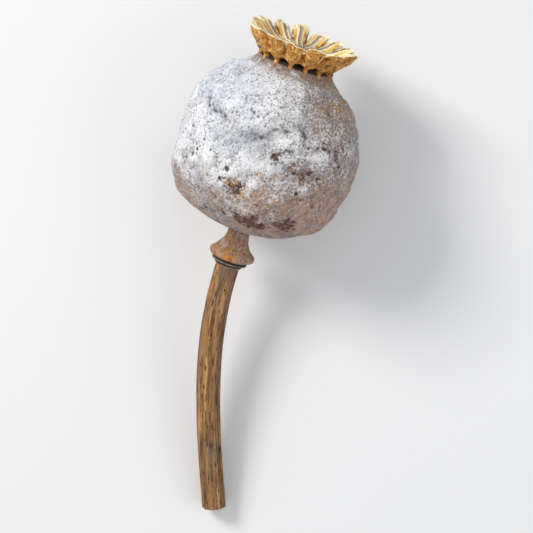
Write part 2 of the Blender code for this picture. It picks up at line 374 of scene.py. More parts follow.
def add_cut_face(rings, paint, way):
    """The rings and their paint, with more rings over the cut face."""
    last = rings[-1]
    middle = last.mean(axis=0)
    for share, out in CUT_FACE:
        ring = middle + (last - middle) * share - way * out
        rough = bumps(ring, *CUT_ROUGHNESS) * (1.3 - share)
        rings = np.concatenate([rings, (ring - way * rough[:, None])[None]])
        paint = {label: np.concatenate([values, values[-1:]]) for label, values in paint.items()}
        paint["wood"][-1] = 1
        paint["pith"][-1] = ease(PITH_SHARE, PITH_SHARE - 0.05, share)
        paint["place"][-1] = ring
    return rings, paint


def make_stem():
    line = stem_line()
    way, across, up = stem_directions(line)
    angles = np.arange(STEM_COLUMNS) / STEM_COLUMNS * math.tau
    turn, length = np.meshgrid(angles, lengths_along(line))
    grain = np.stack([np.cos(turn) * STEM_RADIUS, np.sin(turn) * STEM_RADIUS, length], axis=2)
    groove, fibre, split = stem_relief(turn, grain)
    scar_depth, scar = scars_at(turn, length)
    radius = STEM_RADIUS - RIDGE_HEIGHT * groove + FIBRE_HEIGHT * fibre - SPLIT_DEPTH * split - scar_depth
    outward = np.cos(turn)[..., None] * across[:, None] + np.sin(turn)[..., None] * up[:, None]
    rings = line[:, None] + radius[..., None] * outward
    rings[..., 2] = np.maximum(rings[..., 2], REST_LIFT)
    none = np.zeros_like(turn)
    paint = {"place": grain, "groove": groove, "split": split, "scar": scar, "wood": none, "pith": none}
    return skin_of_rings("cut_stem", *add_cut_face(rings, paint, way[-1]))


def stem_finish():
    """Golden tan skin with rust-brown streaks, grey weathering, painted shade on one side and in the grooves,
    dark scars and splits.
    """
    material, tree = plant_material("dry_stem_skin")
    grain = painted(tree, "place", "Vector")
    fibres = stretched(grain, 0.1)
    parts = add_node("SeparateXYZ", {0: grain}).outputs
    # Painted shade: the side away from the light is greyed, joined to the grey weathering patches.
    shaded_side = ranged(parts["X"], STEM_RADIUS * 0.5, -STEM_RADIUS)
    grey = either(both(shaded_side, 0.7), patches(stretched(grain, 0.4), 6, 0.46, 0.64, 5))
    grey = either(grey, ranged(parts["Z"], 5, 2))
    skin = layered(
        TAN,
        (patches(fibres, 2.6, 0.4, 0.6), GOLD_TAN),
        (both(grey, patches(fibres, 0.9, 0.3, 0.55)), WEATHERED_AND_SHADE_GREY, 0.85),
        (patches(fibres, 0.7, 0.48, 0.64, 4), RUST_AND_SHADE_BROWN, 0.8),
        (patches(stretched(grain, 0.3), 0.55, 0.56, 0.66, 4), DARK_BROWN, 0.8),
        (threads(stretched(grain, 0.05), 1.1, 0.012), DARK_BROWN, 0.55),
        # Painted shade: the grooves between the ridges are darkened.
        (painted(tree, "groove"), RUST_AND_SHADE_BROWN, 0.45),
        (painted(tree, "split"), DARK_BROWN, 0.75),
        (ranged(painted(tree, "scar"), 0.25, 0.75), DARK_BROWN),
    )
    pores = patches(grain, 0.35, 0.42, 0.66, 4)
    pith = mixed(pores, PITH, CUT_WOOD)
    cut = layered(CUT_WOOD, (pores, TAN), (painted(tree, "pith"), pith))
    tone = mixed(painted(tree, "wood"), skin, cut)
    roughness = spread(patches(fibres, 1.2, 0.3, 0.7), 0.52, 0.8)
    relief = patches(stretched(grain, 0.08), 0.28, 0.2, 0.8, 4)
    return finished(material, tone, roughness, 0.35, relief, 0.12)


stem = make_stem()
stem.data.materials.append(stem_finish())
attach(stem, "root")
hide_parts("stem")


# Receptacle
# The end of the stalk that the flower sat on: a waisted stub under the capsule that flares to a rounded rim.
# Below the rim is the ring scar, with the pits that sepals and petals left and a pale grey-green band.

CAPSULE_BASE = -21.9
STUB_HEIGHT = 7.2
GAP = 0.3
STUB_MIDDLE = CAPSULE_BASE - GAP - STUB_HEIGHT
STUB_ROWS = 190
STUB_COLUMNS = 150

# Side from inside the capsule's base down to the stem: radius, and height over the rim's widest level.
STUB_SIDE = (
    (3.15, 8.1), (2.95, 7.2), (2.8, 5.4), (3.3, 3.4), (4.5, 1.6), (5.6, 0.5), (5.85, -0.1), (5.55, -0.75),
    (4.75, -1.08), (4.25, -1.4), (4.5, -1.62), (4.56, -1.85), (4.45, -2.1), (3.85, -2.35), (3.7, -2.6),
    (3.45, -3.1),
)
CURVE_STEPS = 12

# Heights of its parts: where each starts and is full, from one end and from the other.
RIM_SPAN = ((2.2, 0.3), (-1, -0.4))
STUB_SPAN = ((0.8, 3), (7.1, 6))
GROOVE_SPAN = ((-0.65, -0.95), (-2.95, -2.6))

# Unevenness: height and size of its lumps, and the start of its noise.
RIM_SWELL = (0.35, 3.2, (1, 6, 2))
RIM_WAVE = (0.3, 4.5, (8, 2, 5))
STUB_ROUGHNESS = (0.12, 1.3, (4, 4, 0))

STUB_RIBS = 11
STUB_RIB_HEIGHT = 0.13
RING_SCARS = 24
RING_SCAR_DEPTH = 0.22

# Bands round it: level, half-height and sharpness.
RING_SCAR_BAND = (-1.15, 0.32, 2)
PALE_BAND = (-1.8, 0.12, 4)

STUB_OLIVE = (0.22, 0.14, 0.07)
STUB_MAUVE_AND_SHADE = (0.41, 0.3, 0.255)
RIM_AMBER = (0.52, 0.235, 0.055)
SCAR_BROWN = (0.035, 0.02, 0.014)
BAND_GREY = (0.27, 0.285, 0.245)

SHEEN = (1, 0.3, 0.7)


def smooth_through(points, count):
    """Evenly spaced points along a smooth curve through (radius, height) pairs."""
    points = [Vector(point) for point in points]
    fine = []
    for i in range(len(points) - 1):
        before = points[max(i - 1, 0)]
        start, end = points[i], points[i + 1]
        after = points[min(i + 2, len(points) - 1)]
        for t in np.arange(CURVE_STEPS) / CURVE_STEPS:
            square = (2 * before - 5 * start + 4 * end - after) * t ** 2
            cube = (3 * start - before - 3 * end + after) * t ** 3
            fine.append(0.5 * (2 * start + (end - before) * t + square + cube))
    fine = np.array([tuple(point) for point in fine + [points[-1]]])
    along = lengths_along(fine)
    wanted = np.linspace(0, along[-1], count)
    return np.column_stack([np.interp(wanted, along, fine[:, i]) for i in (0, 1)])


def turned(radius, height, turn):
    """Points at these radii, heights and angles round +Z."""
    return np.stack(np.broadcast_arrays(radius * np.cos(turn), radius * np.sin(turn), height), axis=-1)


def grid_of(side, columns):
    """Angle, radius and height of each point of a turned shape with this side."""
    turn, radius = np.meshgrid(np.arange(columns) / columns * math.tau, side[:, 0])
    return turn, radius, np.broadcast_to(side[:, 1:2], turn.shape)


def in_span(height, span):
    """1 inside a span of heights and 0 outside it, with soft ends."""
    return ease(*span[0], height) * ease(*span[1], height)


def make_receptacle():
    turn, radius, level = grid_of(smooth_through(STUB_SIDE, STUB_ROWS), STUB_COLUMNS)
    skin = turned(radius, level, turn)
    rim = in_span(level, RIM_SPAN)
    ribs = in_span(level, STUB_SPAN) * np.cos(STUB_RIBS * turn + 2 * noise_at(skin * (1, 1, 0.3), 4))
    scars = np.cos(RING_SCARS * turn + 1.5 * noise_at(skin, 3, (3, 1, 8)))
    scar = ease(0.1, 0.8, scars) * hump(level, *RING_SCAR_BAND)
    radius = radius + rim * bumps(skin, *RIM_SWELL) + STUB_RIB_HEIGHT * ribs
    radius += bumps(skin, *STUB_ROUGHNESS) - RING_SCAR_DEPTH * scar
    height = level + rim * bumps(skin, *RIM_WAVE)
    paint = {"rim": rim, "scar": scar, "band": hump(level, *PALE_BAND), "groove": in_span(level, GROOVE_SPAN)}
    rings = turned(radius, height + STUB_MIDDLE, turn)
    return skin_of_rings("ring_receptacle", rings, paint, HEAD_POSE)


def receptacle_finish():
    """Olive-brown skin, amber and dusty grey-mauve on the rim with painted shade on one side, and a thin pale
    band in a dark ring scar.
    """
    material, tree = plant_material("ring_scar_skin")
    place = painted(tree, "place", "Vector")
    fibres = stretched(place, 0.3)
    amber = both(painted(tree, "rim"), patches(place, 2.6, 0.36, 0.54))
    # Grey-mauve in dusty patches, and as painted shade on the side away from the light.
    side = ranged(add_node("SeparateXYZ", {0: place}).outputs["X"], -1.5, 3.5)
    dust_and_shade = either(both(side, 0.7), patches(place, 2.2, 0.46, 0.62, 5))
    band = mixed(patches(place, 0.6, 0.5, 0.7), BAND_GREY, SCAR_BROWN)
    tone = layered(
        STUB_OLIVE,
        (patches(fibres, 1.4, 0.38, 0.62), TAN),
        (amber, RIM_AMBER, 0.85),
        (both(dust_and_shade, patches(place, 0.8, 0.3, 0.55, 4)), STUB_MAUVE_AND_SHADE, 0.85),
        (patches(fibres, 0.5, 0.5, 0.66, 4), RUST_AND_SHADE_BROWN, 0.75),
        (painted(tree, "groove"), SCAR_BROWN, 0.92),
        (painted(tree, "scar"), SCAR_BROWN, 0.9),
        (painted(tree, "band"), band),
    )
    roughness = spread(patches(place, *SHEEN), 0.6, 0.88)
    return finished(material, tone, roughness, 0.3, patches(fibres, 0.32, 0.2, 0.8, 4), 0.08)


receptacle = make_receptacle()
receptacle.data.materials.append(receptacle_finish())
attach(receptacle, "root")
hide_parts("receptacle")


# Capsule
# The round seed case, one grown wall that went papery and fell in as it dried. A whitish wax bloom covers
# it, worn on its right and lower side, with russet bare skin near its base and dark specks all over.

CAPSULE_RADIUS = 23
NECK_HEIGHT = 22.5
CAPSULE_ROWS = 250
CAPSULE_COLUMNS = 378
RAYS = 15
RIB_HEIGHT = 0.22

# Broad folds and waves of the wall, which the solid has too, and the waves' mean height.
FOLDS = (1.2, 13, (4.3, 1.7, 9.2))
WAVES = (0.8, 7, (0.4, 8.1, 2.6))
WAVE_MEAN = 0.2

# Finer relief that only the skin has; first the sizes and starts of its noise.
LUMPS = (3.4, (3, 2, 6))
WRINKLES = (2.4, (6, 1, 1))
GRIT = (1, (1, 9, 4))
LUMP_HEIGHT = 0.5
WRINKLE_DEPTH = 0.18
WRINKLE_SHARPNESS = 6
GRIT_HEIGHT = 0.15
NECK_GRIT_HEIGHT = 0.08
CREASE_BEND = 1.1
CREASE_BEND_SIZE = 2
BULGE_HEIGHT = 0.6
PALE_HEIGHT = 0.35
PIT_DEPTH = 0.4

# Heights where the wall is withered, where it has ribs, and where the struts' streaks fade in.
WITHERED_SPAN = ((22.5, 16.5), (-21.9, -16.9))
RIB_SPAN = ((0, 18.5), (22, 19.5))
STREAKS_FADE = (18.9, 21.5)

# Side from the neck down to the base: radius and height.
CAPSULE_SIDE = (
    (9.6, 22.5), (9.9, 21.4), (11.1, 20), (13.5, 18.2), (16.7, 15.8), (19.4, 12.6), (21.3, 8.6),
    (22.5, 4.2), (23, 0), (22.8, -4.2), (21.9, -9), (19.9, -13.5), (17, -17), (13.1, -19.5),
    (9, -20.9), (5.5, -21.6), (3, -21.9),
)

# The pores' floor, which slopes down and outwards to the neck's edge: radius and height.
PORE_FLOOR = ((7, 23.5), (7.8, 23.45), (8.6, 23.1), (9.2, 22.75), (9.6, 22.5))
FLOOR_ROWS = 9

# Furrows where the dry wall fell in: azimuth in degrees and height of both ends, half-width and depth.
FURROWS = (
    ((200, 10), (235, 7.8), 2.2, 1.2),
    ((236, 0.6), (262, 6.2), 2.1, 0.9),
    ((262, 6.2), (292, 11), 2.2, 0.9),
    ((247, -5.6), (261, -7), 2.3, 1.1),
    ((284, -0.4), (316, 1.6), 2.4, 0.7),
    ((233, -9.5), (243, -16.5), 4, 1),
    ((273, -19.5), (295, -17.5), 3.6, 1.3),
    ((309, 17.5), (336, 12.5), 2.4, 0.8),
    ((10, -6), (52, -1), 3.6, 1.2),
    ((118, 15), (133, 3), 3.4, 1.1),
    ((165, 2), (150, -9), 2.6, 0.9),
)

# Narrow creases: azimuth in degrees and height of their points, half-width and depth.
CREASES = (
    (((205, 10.6), (208, 9.8), (213, 9.2), (216, 8.3), (223, 7.8), (227, 8), (232, 8.3)), 0.6, 0.6),
    (((208, 8.8), (213, 8.7), (216, 8.3)), 0.5, 0.4),
    (((216, 9.8), (221, 8.8), (224, 7.8), (229, 6.6)), 0.45, 0.4),
    (((241, 7.8), (243, 6.6), (244, 5.2)), 0.5, 0.4),
    (((244, 5.2), (238, 3.3), (235, 1.8)), 0.8, 0.35),
    (((241, -1.3), (246, -0.5), (250, -0.9)), 0.9, 0.35),
    (((249, -0.2), (252, 0.8), (253, 4)), 0.6, 0.35),
    (((253, 4), (258, 6), (263, 6.6), (267, 8.3), (275, 9.4), (281, 10)), 0.7, 0.4),
    (((252, 11.6), (254, 10.8), (258, 10.6)), 0.5, 0.3),
    (((276, 3), (279, 4.7), (284, 5), (290, 5.4)), 0.8, 0.35),
    (((264, -4.6), (263, -6.4), (261, -7.8), (256, -8.7), (251, -8.2)), 0.5, 0.5),
    (((301, 6.8), (307, 7.9), (312, 7.2), (315, 5)), 0.6, 0.35),
    (((288, 1.4), (296, 0.9), (301, 0.8), (309, -0.1)), 0.6, 0.3),
    (((288, -18.6), (283, -16.6), (286, -14.6)), 0.6, 0.4),
    (((12, -5), (30, -4), (48, -1)), 0.7, 0.5),
    (((120, 14), (126, 8), (134, 4)), 0.7, 0.5),
    (((60, 9), (72, 7), (90, 10)), 0.6, 0.4),
    (((338, 12), (350, 9), (364, 10)), 0.6, 0.4),
    (((148, 12), (158, 7), (170, 6)), 0.6, 0.4),
    (((80, -6), (92, -10), (102, -9)), 0.6, 0.4),
)
DEEPEST_CREASE = 0.6

# Spots of the skin: azimuth in degrees, height, half-width and strength of each.
RUSSET_SPOTS = (
    (265, -14.8, 1.5, 1.2), (270, -15.3, 1.8, 1.5), (275, -15.4, 1.8, 1.5), (276, -13.1, 1.3, 1.2),
    (277, -17.1, 1.9, 1.5), (283, -17, 2, 1.6), (289, -17.3, 1.7, 1.5), (293, -13.5, 1.4, 1.2),
    (297, -13.8, 1.6, 1.4), (302, -14.4, 1.9, 1.6), (304, -12.5, 1.5, 1.3), (298, -11.8, 1.2, 1),
    (253, -6.1, 1.3, 0.5), (257, -7, 1.4, 0.7), (261, -6.6, 1, 1.1), (260, -7.7, 1, 1.1),
    (247, -6.5, 0.5, 1), (291, 10.4, 0.8, 0.9), (291, 9.4, 0.8, 0.8), (279, 4.6, 2.2, 0.44),
    (276, 3, 2.2, 0.44), (307, 7.9, 1.3, 0.55), (311, 7.4, 1.3, 0.55), (317, 7, 1.7, 0.5),
    (290, 0.6, 2.4, 0.46), (299, 0.1, 2.3, 0.46), (301, 0.9, 1.9, 0.44), (309, -0.1, 1.8, 0.46),
    (252, -15.5, 2, 0.6), (244, -11.8, 1.6, 0.5), (310, -6.2, 1.2, 0.5), (322, 4, 0.6, 0.8),
    (292, 7.6, 0.9, 0.5), (318, 15.5, 1.5, 0.5), (232, -12, 1.5, 0.45), (20, -14, 2.2, 1.1),
    (27, -11.5, 1.4, 0.8), (75, -10, 2, 0.8), (140, -13, 2.4, 1.1), (150, -15, 1.6, 0.9),
    (172, 4, 1.5, 0.6), (105, 6, 1.7, 0.6), (50, 2, 1.3, 0.7), (350, -12, 1.5, 0.8),
)
ORANGE_SPOTS = (
    (254, -5.8, 1.4, 1), (257, -6.2, 1.3, 1), (271, -1.9, 1.2, 0.6), (280, -1.4, 1, 0.8),
    (283, -1, 0.8, 0.6), (310, 1.3, 1.4, 0.7), (263, -8.1, 1.1, 0.7), (262, -9.6, 0.9, 0.6),
    (283, -16.4, 1.6, 0.5), (300, -13.6, 1.6, 0.5), (230, -7.9, 1.2, 0.5), (239, -8.1, 1, 0.6),
    (292, -7.4, 1.1, 0.55), (282, -8.6, 1, 0.5), (273, -7.2, 1.4, 0.45), (296, -9.6, 1.5, 0.5),
    (312, -9.5, 1.4, 0.5), (10, -8, 1.8, 0.8), (65, -6, 2, 0.8), (120, -9, 2, 0.8),
    (160, -4, 1.6, 0.7), (95, -2, 1.5, 0.7),
)
PALE_SPOTS = (
    (262, -0.6, 1.5, 0.9), (266, -0.4, 1.5, 1), (271, 0.3, 1.4, 1), (275, -0.1, 1.3, 1),
    (280, 0.7, 1.2, 0.8), (277, 7, 1.3, 1), (281, 7.6, 1, 0.7), (303, 5.2, 1.3, 0.9),
    (308, 5.5, 1.3, 0.9), (247, -4.4, 1.3, 1), (252, -4.4, 1.1, 0.9), (243, -5.4, 1.2, 0.8),
    (256, 1.6, 1.1, 0.6), (300, -3, 1.3, 0.6), (268, -5, 1.2, 0.6), (232, 0.4, 1.8, 0.7),
    (238, -3.4, 1.6, 0.8), (287, 9, 1.1, 0.5), (261, 9.6, 1.6, 0.6),
)
CLEAR_PITS = (
    (250, -3.6, 0.8, 1), (296, -4.3, 0.55, 0.9), (301, -5.7, 0.5, 0.7), (247, -6.5, 0.45, 0.8),
    (224, -2.6, 0.55, 0.9), (226, -1.6, 0.4, 0.7), (222, -1.4, 0.4, 0.7), (212, 1.8, 0.5, 0.8),
    (202, -1.1, 0.45, 0.7), (204, -0.1, 0.45, 0.7), (228, 0.6, 0.5, 0.7), (221, -4.3, 0.5, 0.8),
    (215, -6.2, 0.5, 0.8), (235, -1.1, 0.5, 0.7), (322, 4, 0.5, 0.8), (263, 6.6, 0.8, 0.6),
    (257, 10.7, 0.5, 0.7), (253, 11.4, 0.5, 0.7),
)

# Small bulges in the same way; one with a strength of 1 stands out by BULGE_HEIGHT.
BULGES = (
    (255, -6.2, 2, 1), (306, 5.4, 1.7, 0.9), (294, -0.4, 1.5, 0.6), (286, 8.2, 3, 0.6),
    (240, -1.5, 3, 0.5), (226, 4, 3.2, 0.7), (288, -7, 4.2, 0.7), (262, 13.5, 3.4, 0.5),
    (310, -11, 3.6, 0.6), (200, 2, 3.4, 0.6), (30, 4, 3.6, 0.8), (95, 2, 4, 0.8),
    (130, -6, 3, 0.7), (60, -14, 3.4, 0.7), (170, 10, 3, 0.6),
)

# Small pits all over: seed and number, then ranges of azimuth, height, half-width and strength.
PITS = (23, 170, ((0, 360), (-20, 18), (0.22, 0.42), (0.3, 0.8)))

BLOOM_WHITE = (0.92, 0.92, 0.925)
BLOOM_MILKY = (0.6, 0.605, 0.66)
BLOOM_BLUISH_SHADE = (0.68, 0.73, 0.83)
BLOOM_SHADE_BLUE = (0.5, 0.55, 0.65)
BLOOM_SHADE_GREY = (0.5, 0.5, 0.51)
BLOOM_WORN = (0.7, 0.61, 0.565)
CREASE_SHADE = (0.05, 0.055, 0.07)
SKIN_GREY = (0.25, 0.235, 0.24)
SKIN_MAUVE = (0.26, 0.185, 0.155)
SKIN_PINK = (0.48, 0.295, 0.21)
SKIN_ORANGE = (0.5, 0.27, 0.1)
RUSSET = (0.09, 0.028, 0.012)
BASE_SHADE_PINK = (0.5, 0.41, 0.375)
NECK_SHADE_BROWN = (0.26, 0.155, 0.088)
SPECK_GREY_AND_SHADE = (0.09, 0.08, 0.08)


def on_ball(azimuth, level):
    """Point of a ball as wide as the capsule."""
    return turned(math.sqrt(CAPSULE_RADIUS ** 2 - level ** 2), level, math.radians(azimuth))


def on_side(azimuth, level):
    """Point of the capsule's side before it withered."""
    radii, heights = np.array(CAPSULE_SIDE).T
    return turned(np.interp(-level, -heights, radii), level, math.radians(azimuth))


def off_line(points, start, end):
    """Distances of points from the line between two others."""
    line = end - start
    share = np.clip((points - start) @ line / (line @ line), 0, 1)
    return np.linalg.norm(points - start - share[..., None] * line, axis=-1)


def furrows_at(points):
    """Depth of the fallen-in places."""
    depth = np.zeros(points.shape[:-1])
    for start, end, wide, deep in FURROWS:
        depth += deep * hump(off_line(points, on_ball(*start), on_ball(*end)), 0, wide)
    return depth


def creases_at(points):
    """How deep in a narrow crease each point is: in mm, and as a share of the deepest one."""
    starts = ((7, 7, 1), (2, 5, 5), (6, 0, 8))
    bend = np.stack([noise_at(points, CREASE_BEND_SIZE, start) for start in starts], axis=-1)
    bent = points + CREASE_BEND * bend
    depth = np.zeros(points.shape[:-1])
    share = np.zeros(points.shape[:-1])
    for places, wide, deep in CREASES:
        corners = [on_side(*place) for place in places]
        off = np.min([off_line(bent, start, end) for start, end in zip(corners, corners[1:])], axis=0)
        near = hump(off, 0, wide)
        depth = np.maximum(depth, deep * near)
        share = np.maximum(share, near * deep / DEEPEST_CREASE)
    return depth, share


def from_ray(angle):
    """The way off the nearest ray: 0 on it, 1 or -1 midway to the next."""
    turns = angle / math.tau * RAYS
    return (turns - np.round(turns)) * 2


def spots_at(points, spots):
    """Strength of these spots at each point."""
    strength = np.zeros(points.shape[:-1])
    for azimuth, level, wide, share in spots:
        off = np.linalg.norm(points - on_side(azimuth, level), axis=-1)
        strength = np.maximum(strength, share * hump(off, 0, wide))
    return strength


def wall_relief(skin, lumps, grit):
    """How far the withered wall stands out at each point, and its paint."""
    crease_depth, crease = creases_at(skin)
    pale = spots_at(skin, PALE_SPOTS)
    pit = spots_at(skin, [*CLEAR_PITS, *drawn(*PITS)])
    wrinkle = np.maximum(0, 1 - WRINKLE_SHARPNESS * np.abs(noise_at(skin, *WRINKLES)))
    wrinkle *= ease(-0.25, 0.25, lumps)
    sunk = bumps(skin, *FOLDS) + np.abs(bumps(skin, *WAVES)) - WAVE_MEAN - furrows_at(skin)
    move = sunk + LUMP_HEIGHT * lumps - WRINKLE_DEPTH * wrinkle + GRIT_HEIGHT * grit - PIT_DEPTH * pit
    move += PALE_HEIGHT * pale - crease_depth + BULGE_HEIGHT * spots_at(skin, BULGES)
    paint = {"hollow": ease(0.1, -1.6, sunk), "crease": crease, "pale": pale, "pit": pit, "wrinkle": wrinkle,
             "russet": spots_at(skin, RUSSET_SPOTS), "orange": spots_at(skin, ORANGE_SPOTS)}
    return move, paint


def off_the_floor(points):
    """The head's points, raised to REST_LIFT where its pose brings them lower."""
    up = np.array(HEAD_POSE.to_3x3())[2]
    level = points @ up + HEAD_POSE.translation.z
    return points - np.minimum(level - REST_LIFT, 0)[..., None] * up


def make_capsule():
    pore_floor = smooth_through(PORE_FLOOR, FLOOR_ROWS)[:-1]
    side = np.vstack([pore_floor, smooth_through(CAPSULE_SIDE, CAPSULE_ROWS)])
    turn, radius, height = grid_of(side, CAPSULE_COLUMNS)
    skin = turned(radius, height, turn)
    off_ray = from_ray(turn)
    lumps = noise_at(skin, *LUMPS)
    grit = noise_at(skin, *GRIT)
    move, paint = wall_relief(skin, lumps, grit)
    withered = in_span(height, WITHERED_SPAN)
    ribs = RIB_HEIGHT * np.cos(math.pi * off_ray) * in_span(height, RIB_SPAN)
    move = move * withered + ribs + NECK_GRIT_HEIGHT * grit * (1 - withered)
    far = np.hypot(radius, height)
    rings = turned(radius + move * radius / far, height + move * height / far * withered, turn)
    paint["strut"] = ease(0.5, 0.1, np.abs(off_ray) + 0.3 * lumps) * ease(*STREAKS_FADE, height)
    return skin_of_rings("capsule_skin", off_the_floor(rings), paint, HEAD_POSE)


def weighted(*parts):
    """Sum of some numbers, each times its weight."""
    total = 0
    for value, weight in parts:
        total = plus(total, both(value, weight))
    return total


def ragged(place, spot, size):
    """A painted spot with an uneven, broken edge."""
    broken = spread(patches(place, size, 0.3, 0.7, 5), -0.4, 0.4)
    return ranged(plus(spot, broken), 0.3, 0.75)


def wall_areas(place):
    """Masks of the wall's areas: where each starts and is full, across the head or up it."""
    parts = add_node("SeparateXYZ", {0: place}).outputs
    x, z = parts["X"], parts["Z"]
    drift = spread(patches(place, 6, 0.3, 0.7, 5), -4, 4)
    drifted = plus(z, drift)
    return {
        "right": ranged(x, -8, 20),
        "left": ranged(x, 2, -14),
        "shoulder": both(ranged(z, 6, 18), ranged(x, 0, 12)),
        "high": ranged(drifted, 4, 12),
        "low": ranged(plus(drifted, both(x, -0.3)), 3, -12),
        "base": ranged(plus(z, both(drift, 0.6)), -12, -19),
        "neck": ranged(z, 19.2, 22),
        "pores": ranged(z, 22.2, 22.6),
    }


def bare_skin(place, areas, russet, orange):
    """Skin under the bloom: grey and mauve, pinkish and orange lower down, tan on the shoulder."""
    low = areas["low"]
    return layered(
        SKIN_GREY,
        (both(areas["right"], patches(place, 4, 0.38, 0.6, 4)), SKIN_MAUVE),
        (low, SKIN_MAUVE, 0.75),
        (both(low, patches(place, 3, 0.36, 0.58, 4)), SKIN_PINK),
        (both(low, patches(place, 1.7, 0.54, 0.68, 4)), SKIN_ORANGE, 0.3),
        (both(areas["shoulder"], patches(place, 2.5, 0.36, 0.56, 4)), TAN, 0.85),
        (orange, SKIN_ORANGE, 0.85),
        (both(russet, patches(place, 0.8, 0.3, 0.5, 4)), RUSSET, 0.95),
    )


def bloom_grains(tree, place, areas, russet, orange):
    """1 where the bloom is kept: all over the wall, but in small grains where it is worn."""
    wear = weighted(
        (areas["right"], 0.44), (areas["low"], 0.4),
        (patches(place, 3.2, 0.38, 0.64, 5), 0.34), (patches(place, 1.4, 0.42, 0.62, 3), 0.16),
        # Wear on the shoulder, and at the neck as painted shade under the crown.
        (either(areas["shoulder"], areas["neck"]), 0.42),
        (russet, 0.8), (orange, 0.4), (painted(tree, "pale"), -0.8),
    )
    grains = patches(place, 0.56, spread(wear, 0.14, 0.42), spread(wear, 0.48, 0.78), 4)
    # The bloom thins on russet spots, and towards the base as painted shade.
    kept = both(spread(russet, 1, 0.18), spread(areas["base"], 1, 0.75))
    return both(grains, kept)


def bloom_colour(tree, place, areas):
    """White and milky bloom, pinkish where worn, with painted shade: bluish high on the left, grey low on the
    left, pink at the base, grey to blue in hollows.
    """
    left, low = areas["left"], areas["low"]
    pale = painted(tree, "pale")
    not_pale = spread(pale, 1, 0)
    worn = weighted((low, 0.85), (either(areas["right"], areas["shoulder"]), 0.35))
    return layered(
        BLOOM_WHITE,
        (both(patches(place, 2.2, 0.44, 0.64, 5), not_pale), BLOOM_MILKY, 0.5),
        (both(worn, spread(pale, 1, 0.2)), BLOOM_WORN),
        # Painted shade on the lower left, away from the light.
        (both(left, low), BLOOM_SHADE_GREY, 0.8),
        # Painted shade towards the base, in pink.
        (areas["base"], BASE_SHADE_PINK, 0.85),
        # Painted bluish shade high on the left.
        (both(left, areas["high"]), BLOOM_BLUISH_SHADE, 0.8),
        # Painted shade in the hollows: grey, bluer on the left.
        (both(painted(tree, "hollow"), not_pale), mixed(left, BLOOM_SHADE_GREY, BLOOM_SHADE_BLUE), 0.7),
    )


def capsule_finish():
    """Whitish bloom over the skin, brown streaks at the neck, painted shade under the crown, on the pores'
    floor, in creases and wrinkles, and dark dots, lines and pits.
    """
    material, tree = plant_material("waxy_bloom")
    place = painted(tree, "place", "Vector")
    areas = wall_areas(place)
    flecks = both(areas["low"], patches(place, 1.5, 0.58, 0.68, 5))
    russet = either(ragged(place, painted(tree, "russet"), 1.1), both(flecks, 0.75))
    orange = ragged(place, painted(tree, "orange"), 1)
    grains = bloom_grains(tree, place, areas, russet, orange)
    streaks = both(painted(tree, "strut"), patches(stretched(place, 0.3), 0.6, 0.38, 0.58, 4))
    crease = both(ranged(painted(tree, "crease"), 0.15, 0.9), patches(place, 0.6, 0.36, 0.52, 5))
    dots = either(specks(place, 1, 0.45, 0.34), specks(place, 0.7, 0.35, 0.34))
    lines = both(threads(place, 1.3, 0.018), patches(place, 1.6, 0.46, 0.56))
    tone = layered(
        bare_skin(place, areas, russet, orange),
        (grains, bloom_colour(tree, place, areas)),
        # Painted shade: brown below the crown's pores.
        (both(areas["neck"], patches(place, 1.5, 0.3, 0.52, 4)), NECK_SHADE_BROWN, 0.85),
        (streaks, TAN, 0.8),
        # Painted shade on the pores' floor under the crown.
        (areas["pores"], DARK_BROWN, 0.9),
        # Painted shade in the narrow creases.
        (crease, CREASE_SHADE, 0.85),
        (dots, SPECK_GREY_AND_SHADE, 0.7),
        (lines, SPECK_GREY_AND_SHADE, 0.5),
        # Painted shade along the wrinkles.
        (painted(tree, "wrinkle"), SPECK_GREY_AND_SHADE, 0.2),
        (ranged(painted(tree, "pit"), 0.2, 0.65), DARK_BROWN, 0.92),
    )
    relief = plus(grains, patches(place, 0.4, 0.25, 0.75, 4))
    return finished(material, tone, spread(grains, 0.68, 0.93), 0.25, relief, 0.17)


capsule = make_capsule()
capsule.data.materials.append(capsule_finish())
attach(capsule, "root")
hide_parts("capsule")


# Crown
# The dry stigma disc on top of the capsule: one straw-gold sheet pleated into lobes, with a double-lipped
# grey ray down each. It stands on short struts that run on down the neck, with pores in painted shade between
# them.

CROWN_LEVEL = NECK_HEIGHT + GAP
CROWN_RADIUS = 15
NOTCH_RADIUS = 10.4
DISC_INNER = 6.5
DISC_LEVEL = 3
LOBE_RISE = 3.6
PLEAT = 0.7
LOBE_TWIST = 0.7

# The lobes' own lengths, upward curls and twists, as shares: seed, number and ranges.
LOBES = (7, RAYS, ((0.9, 1), (0.75, 1.2), (-1, 1)))

LOBE_EDGE = 0.9
LOBE_SQUARENESS = 6
SHEET_THICKNESS = 0.6
EDGE_THICKNESS = 0.3
NOTCH_CURL = 0.3
BACK_SWELL = 0.35

# Unevenness of the sheet, its backs, its rays and the wall below.
FRAY = (0.28, 1.1, (2, 2, 9))
WARP = (0.35, 4.2, (5, 5, 5))
VEINS = (0.15, 0.7, (1, 1, 7))
BACK_WEAR = (0.25, 1.5, (6, 2, 2))
BACK_STREAKS = (0.2, 0.8, (3, 3, 5))
GROOVE_WEAR = (0.22, 1, (4, 7, 7))
WALL_ROUGHNESS = (0.14, 0.9, (3, 8, 3))

# Rays: a swelling with a lip on each side of its groove. Past RAY_MIDDLE a point is to its right.
RAY_START = (0.8, 2.5)
RAY_MIDDLE = 1e-6
RAY_END = 14.2
RAY_FADE = 1.4
RAY_HEIGHT = 0.55
RAY_WIDTH = 0.95
LIP_HEIGHT = 0.2
LIPS = (0.62, 0.25)
GROOVE_DEPTH = 0.4
GROOVE_WIDTH = 0.42

